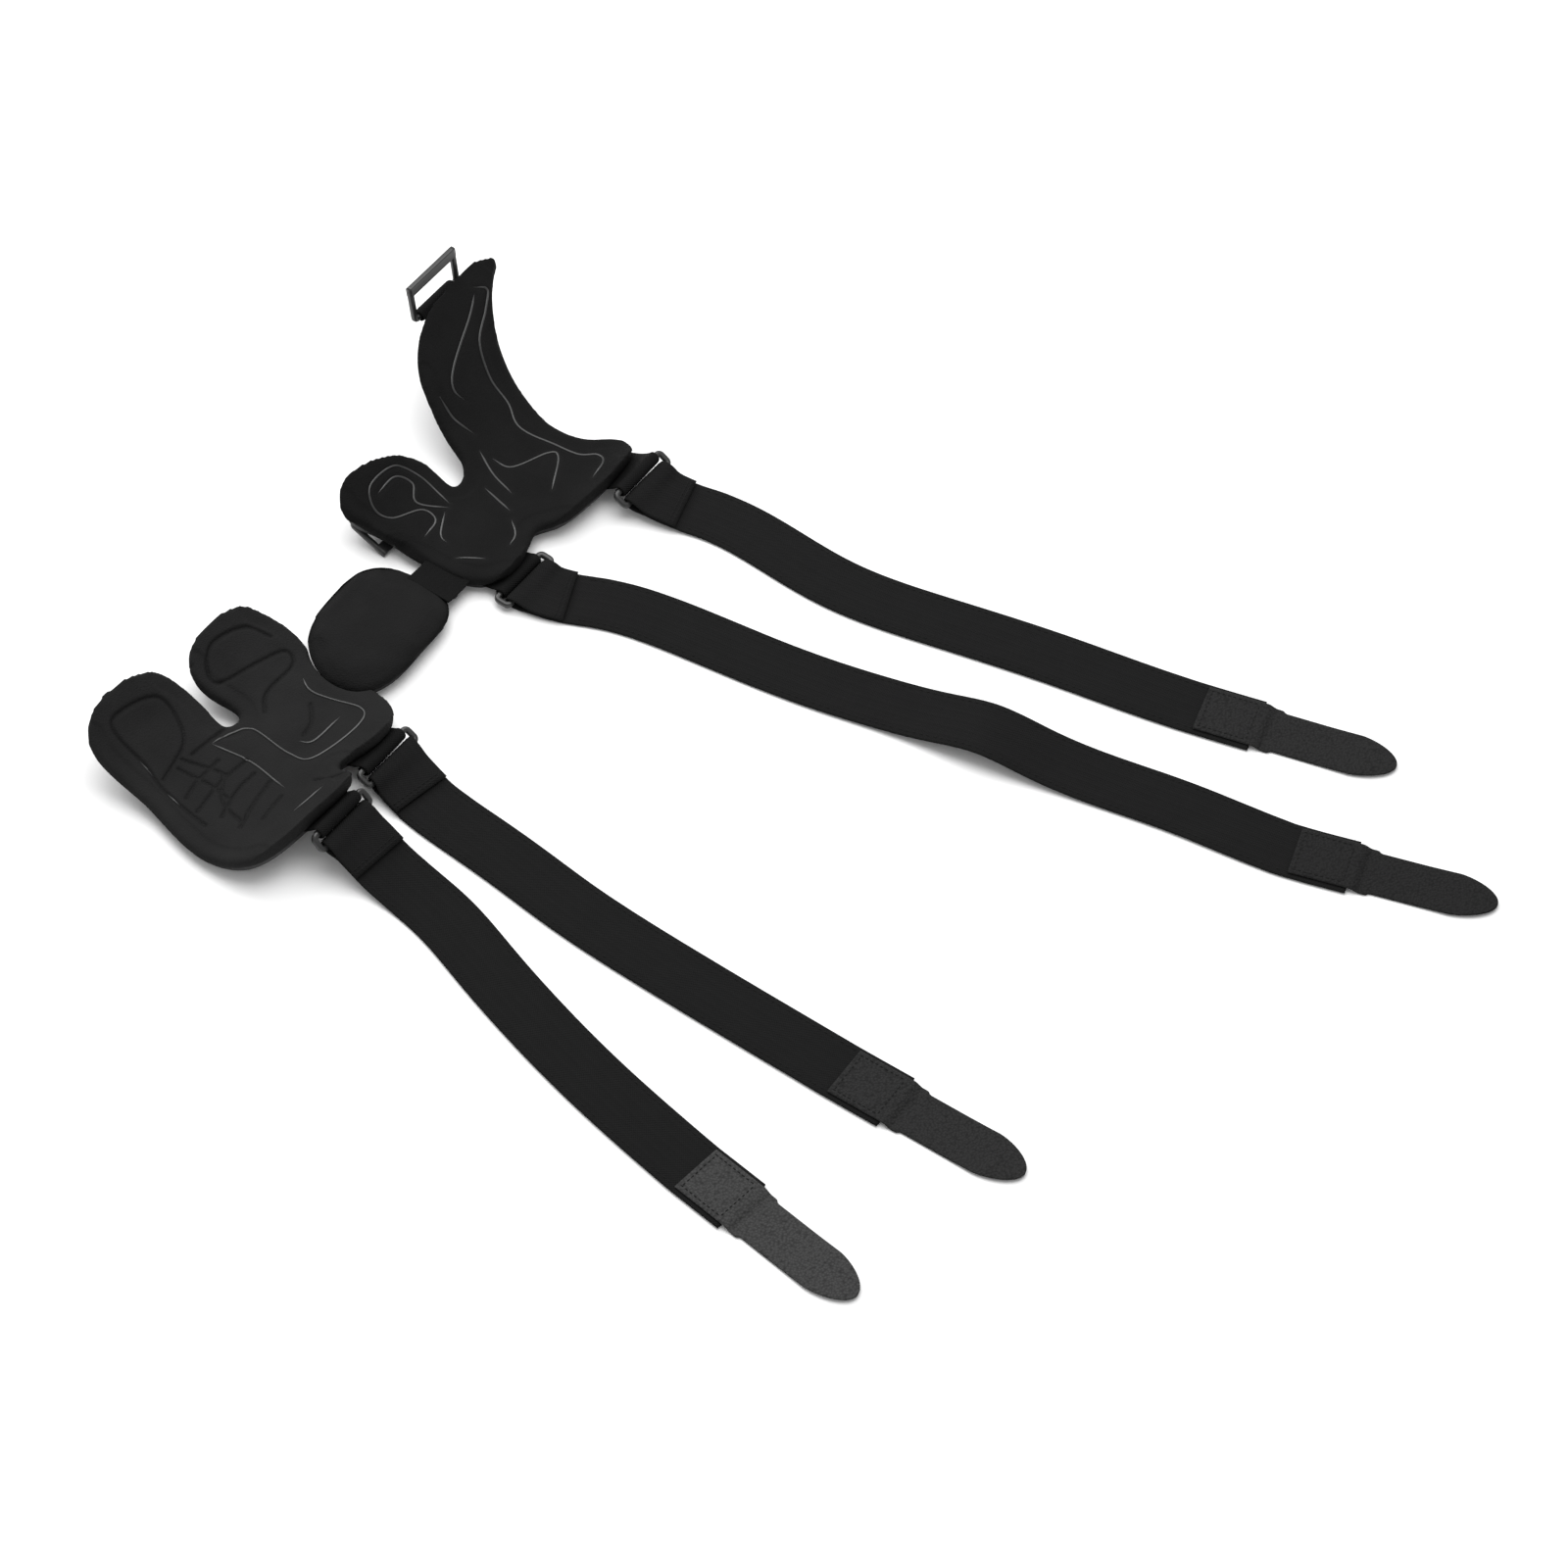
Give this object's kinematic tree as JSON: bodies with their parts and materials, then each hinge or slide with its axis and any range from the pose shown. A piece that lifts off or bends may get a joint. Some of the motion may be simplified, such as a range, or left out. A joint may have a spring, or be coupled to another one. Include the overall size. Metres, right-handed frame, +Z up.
{
  "type": "forearm guard",
  "caption": "Strapped forearm and elbow guard: contoured foam pads in curved shells, hinged at the elbow, with elastic straps on rings, hook tabs and strap loops.",
  "frame": {"origin": "under the middle of the whole guard, at the level its shells rest on", "axes": "+Y along the limb from wrist to upper arm, +X across the limb towards the straps, +Z up towards the wearer's skin"},
  "size_m": [0.5885, 0.3912, 0.0651],
  "materials": {
    "shell_plastic": "satin moulded",
    "pad_foam": "foam faced with brushed knit, welded contour lines",
    "hook_dot": "hook and loop",
    "rivet_metal": "black oxide",
    "hinge_metal": "black painted",
    "sling_webbing": "woven nylon",
    "loop_plastic": "semi-gloss",
    "elastic_webbing": "ribbed elastic",
    "hook_tape": "hook tape",
    "thread": "twisted thread"
  },
  "bodies": {
    "forearm": {"forearm_shell": "shell_plastic", "forearm_pad": "pad_foam", "forearm_pad_hook_dots": "hook_dot", "elbow_cup": "shell_plastic", "elbow_pad": "pad_foam", "elbow_pad_hook_dots": "hook_dot", "elbow_cup_rivets": "rivet_metal", "hinge_lower_leaf": "hinge_metal", "lower_leaf_rivets": "rivet_metal", "hinge_pin": "hinge_metal", "forearm_sling_rivets": "rivet_metal", "ring_sling_3": "sling_webbing", "ring_sling_4": "sling_webbing", "loop_sling_3": "sling_webbing", "loop_sling_4": "sling_webbing"},
    "upper_arm": {"upper_arm_shell": "shell_plastic", "upper_arm_pad": "pad_foam", "upper_pad_hook_dots": "hook_dot", "hinge_upper_leaf": "hinge_metal", "upper_leaf_rivets": "rivet_metal", "upper_sling_rivets": "rivet_metal", "ring_sling_1": "sling_webbing", "ring_sling_2": "sling_webbing", "loop_sling_1": "sling_webbing", "loop_sling_2": "sling_webbing"},
    "strap_1": {"strap_ring_1": "loop_plastic", "elastic_band_1": "elastic_webbing", "hook_tab_1": "hook_tape", "tab_stitching_1": "thread"},
    "strap_2": {"strap_ring_2": "loop_plastic", "elastic_band_2": "elastic_webbing", "hook_tab_2": "hook_tape", "tab_stitching_2": "thread"},
    "strap_3": {"strap_ring_3": "loop_plastic", "elastic_band_3": "elastic_webbing", "hook_tab_3": "hook_tape", "tab_stitching_3": "thread"},
    "strap_4": {"strap_ring_4": "loop_plastic", "elastic_band_4": "elastic_webbing", "hook_tab_4": "hook_tape", "tab_stitching_4": "thread"},
    "loop_1": {"strap_loop_1": "loop_plastic"},
    "loop_2": {"strap_loop_2": "loop_plastic"},
    "loop_3": {"strap_loop_3": "loop_plastic"},
    "loop_4": {"strap_loop_4": "loop_plastic"}
  },
  "joints": [
    {"name": "elbow_fold", "type": "hinge", "parent": "forearm", "child": "upper_arm", "pos_m": [-0.2, 0.0165, 0.003], "axis": [1, 0, 0], "range_deg": [0, 90]},
    {"name": "strap_1_lift", "type": "hinge", "parent": "upper_arm", "child": "strap_1", "pos_m": [-0.162, 0.12, 0.01177], "axis": [0, -1, 0], "range_deg": [0, 45]},
    {"name": "strap_2_lift", "type": "hinge", "parent": "upper_arm", "child": "strap_2", "pos_m": [-0.173, 0.042, 0.00406], "axis": [0, -1, 0], "range_deg": [0, 45]},
    {"name": "strap_3_lift", "type": "hinge", "parent": "forearm", "child": "strap_3", "pos_m": [-0.1555, -0.081, 0.01077], "axis": [0, -1, 0], "range_deg": [0, 70]},
    {"name": "strap_4_lift", "type": "hinge", "parent": "forearm", "child": "strap_4", "pos_m": [-0.1442, -0.126, 0.02046], "axis": [0, -1, 0], "range_deg": [0, 70]},
    {"name": "loop_1_swing", "type": "hinge", "parent": "upper_arm", "child": "loop_1", "pos_m": [-0.289, 0.1295, 0.0437], "axis": [0, -1, 0], "range_deg": [-12, 90]},
    {"name": "loop_2_swing", "type": "hinge", "parent": "upper_arm", "child": "loop_2", "pos_m": [-0.2528, 0.0335, 0.00984], "axis": [0, 1, 0], "range_deg": [0, 165]},
    {"name": "loop_3_swing", "type": "hinge", "parent": "forearm", "child": "loop_3", "pos_m": [-0.2528, -0.076, 0.00984], "axis": [0, 1, 0], "range_deg": [0, 165]},
    {"name": "loop_4_swing", "type": "hinge", "parent": "forearm", "child": "loop_4", "pos_m": [-0.2528, -0.136, 0.00984], "axis": [0, 1, 0], "range_deg": [0, 165]}
  ]
}
